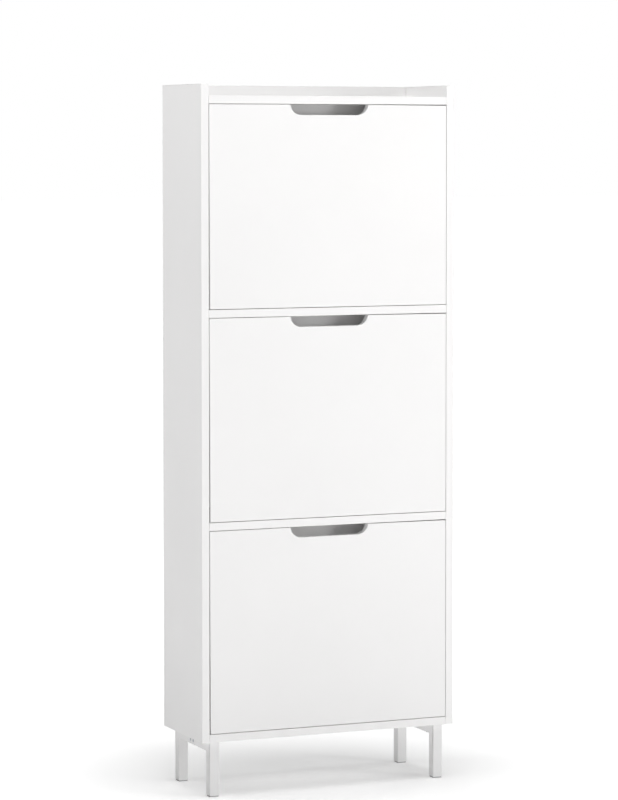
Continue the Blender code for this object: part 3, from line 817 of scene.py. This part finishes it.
def wing(level, side):
    """Moulded wing: rounded plate with its stop slot, flange, ledges for the boards and raised beads."""
    sign = SIDES[side]
    node = f"{level}_{side}_wing"
    body = level + "_tip_out"
    low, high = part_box(node)
    pivot = pivot_of(level)
    shoulder, crown = low.z + WING_SHOULDER, low.y + WING_CROWN
    outline = rounded_outline([
        (low.y, low.z, 0.0008), (high.y, low.z, WING_CORNER), (high.y, shoulder, WING_CORNER),
        (crown, high.z, WING_CORNER), (low.y, high.z, 0.0008),
    ])
    outer = low.x if sign < 0 else high.x
    inner = outer - sign * WING_THICKNESS
    middle = ((outer + inner) / 2, 0, 0)
    slot = [Vector((y, z)) for y, z in slot_outline(pivot)]
    made = plate(node + "_moulding", [outline, slot], STANDING_ACROSS_X, middle, WING_THICKNESS, WING_ROUND)
    extras = bmesh.new()

    def add_rib(low_y, high_y, low_z, high_z, reach):
        xs = sorted((inner + sign * WING_THICKNESS / 2, inner - sign * reach))
        add_box(extras, (xs[0], low_y, low_z), (xs[1], high_y, high_z), 0.0003, 2)

    gap = 0.0002
    floor_low, floor_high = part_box(level + "_floor")
    riser_low, riser_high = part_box(level + "_riser")
    step_low, step_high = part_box(level + "_step")
    rear_low, rear_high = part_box(level + "_rear_board")
    add_rib(low.y, low.y + FLANGE_THICKNESS, low.z, high.z, FLANGE_WIDTH - WING_THICKNESS)
    add_rib(floor_low.y, riser_high.y, floor_low.z - gap - LEDGE, floor_low.z - gap, LEDGE_REACH)
    under_step = step_low.z - gap - LEDGE
    add_rib(riser_high.y + gap, riser_high.y + gap + LEDGE, riser_low.z, under_step, LEDGE_REACH)
    add_rib(riser_high.y + gap + LEDGE / 2, step_high.y, under_step, step_low.z - gap, LEDGE_REACH)
    add_rib(rear_high.y + gap, rear_high.y + gap + LEDGE, step_high.z, rear_high.z, LEDGE_REACH)
    made = combined(made, extras, "UNION")
    piece(made, "plastic", "white_plastic", body, node)
    inset = rounded_outline([
        (low.y + BEAD_INSET, low.z + BEAD_INSET, BEAD_TIGHT_CORNER),
        (high.y - BEAD_INSET, low.z + BEAD_INSET, BEAD_CORNER),
        (high.y - BEAD_INSET, shoulder - BEAD_INSET / 2, BEAD_CORNER),
        (crown + BEAD_INSET / 2, high.z - BEAD_INSET, BEAD_CORNER),
        (low.y + BEAD_INSET, high.z - BEAD_INSET, BEAD_TIGHT_CORNER),
    ])
    bead(node + "_rim_bead", inset, outer, body)
    bead(node + "_slot_bead", slot_outline(pivot, SLOT_BEAD_OFFSET), outer, body)
    flange_x = inner - sign * (FLANGE_WIDTH - WING_THICKNESS) / 2
    heights = [low.z + (high.z - low.z) * share for share in (0.12, 0.50, 0.90)]
    screws(node + "_screws", [(flange_x, low.y + FLANGE_THICKNESS, z) for z in heights], (0, 1, 0), 0.0034,
           0.0018, body)


def basket_board(level, part, thin_axis):
    """Foil-faced thin board whose narrow edges show the raw fibre."""
    node = f"{level}_{part}"
    low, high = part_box(node)
    board = rounded_box(node + "_board", low, high, 0.0003, 2)
    board.data.materials.append(LOOKS["foil"])
    board.data.materials.append(LOOKS["fibre"])
    for face in board.data.polygons:
        face.material_index = 0 if abs(face.normal[thin_axis]) > 0.5 else 1
    piece(board, None, "basket_board", level + "_tip_out", node)


# Stage

def stage():
    """A pale floor that glows with painted light, wide enough to reach past every view."""
    floor = rounded_box("studio_floor", (-60, -60, -0.02), (60, 60, 0.0), 0.004, 2)
    floor.data.materials.append(glowing_floor_finish())


def world():
    """Even white surroundings: dimmer as light than as backdrop, so that the backdrop stays white."""
    scene_world = bpy.data.worlds.new("white_studio")
    bpy.context.scene.world = scene_world
    scene_world.use_nodes = True
    tree = scene_world.node_tree
    tree.nodes.clear()
    output = tree.nodes.new("ShaderNodeOutputWorld")
    mix = tree.nodes.new("ShaderNodeMixShader")
    rays = tree.nodes.new("ShaderNodeLightPath")
    lighting = tree.nodes.new("ShaderNodeBackground")
    backdrop = tree.nodes.new("ShaderNodeBackground")
    lighting.inputs["Color"].default_value = (1.0, 1.0, 1.0, 1.0)
    lighting.inputs["Strength"].default_value = WORLD_LIGHT
    backdrop.inputs["Color"].default_value = (1.0, 1.0, 1.0, 1.0)
    backdrop.inputs["Strength"].default_value = 1.0
    tree.links.new(rays.outputs["Is Camera Ray"], mix.inputs["Fac"])
    tree.links.new(lighting.outputs["Background"], mix.inputs[1])
    tree.links.new(backdrop.outputs["Background"], mix.inputs[2])
    tree.links.new(mix.outputs["Shader"], output.inputs["Surface"])


def soft_light(name, where, aim, size, watts):
    """A rectangular softbox at one place, turned towards another."""
    data = bpy.data.lights.new(name, "AREA")
    data.shape = "RECTANGLE"
    data.size, data.size_y = size
    data.energy = watts
    lamp = linked(name, data)
    lamp.location = where
    lamp.rotation_euler = (Vector(aim) - Vector(where)).to_track_quat("-Z", "Y").to_euler()


def camera():
    """A long lens, a little above the cabinet's upper half and turned slightly down."""
    data = bpy.data.cameras.new("camera")
    data.lens = CAMERA_LENS
    data.sensor_width = 36.0
    data.shift_x, data.shift_y = CAMERA_SHIFT
    data.clip_end = 100.0
    obj = linked("camera", data)
    obj.location = (sin(CAMERA_AZIMUTH) * CAMERA_DISTANCE, -cos(CAMERA_AZIMUTH) * CAMERA_DISTANCE,
                    CAMERA_HEIGHT)
    obj.rotation_euler = (pi / 2 + CAMERA_PITCH, 0, CAMERA_HEADING)
    bpy.context.scene.camera = obj


camera()
world()
soft_light("key_softbox", (3.3, -3.3, 1.35), (0.0, -0.1, 0.9), (1.2, 1.2), 43.5)
soft_light("low_softbox", (2.2, -2.2, 0.5), (0.15, -0.1, 0.3), (0.8, 0.8), 7.5)
soft_light("front_softbox", (-0.7, -3.4, 1.9), (0.0, -0.1, 1.0), (0.9, 0.9), 2.6)
soft_light("left_softbox", (-1.3, 0.0, 2.6), (-0.25, 0.0, 1.2), (1.0, 1.0), 9.5)
soft_light("overhead_softbox", (0.0, -0.5, 3.4), (0.0, 0.0, 1.3), (2.0, 2.0), 46.0)
soft_light("rear_softbox", (0.6, 3.2, 2.2), (0.0, 0.1, 0.8), (1.8, 1.8), 12.0)
stage()
bpy.context.scene.view_settings.view_transform = "Standard"

for side_name in SIDES:
    banded_board(side_name + "_side_panel", (FRONT_EDGE, TOP_EDGE), pin_holes(side_name))
    wall_bracket(side_name + "_wall_bracket")
    leg_frame(side_name)
    for end_name in ("front", "rear"):
        leg_bolt(f"{side_name}_{end_name}_leg_bolt")
        glide(f"{side_name}_{end_name}_glide")
for board_name in ("bottom_board", "lower_shelf", "upper_shelf", "top_board"):
    banded_board(board_name, (FRONT_EDGE,))
    cam_covers(board_name)
banded_board("rear_rail", (TOP_EDGE,))
back_panel()
for level_name in LEVELS:
    banded_board(level_name + "_cross_rail", (UNDER_EDGE,))
    flap_panel(level_name)
    catch(level_name)
    basket_board(level_name, "floor", 2)
    basket_board(level_name, "riser", 1)
    basket_board(level_name, "step", 2)
    basket_board(level_name, "rear_board", 1)
    for side_name in SIDES:
        wing(level_name, side_name)
        pin(f"{level_name}_{side_name}_pivot_pin", level_name + "_tip_out")
        stop_pin(f"{level_name}_{side_name}_stop_pin", side_name)
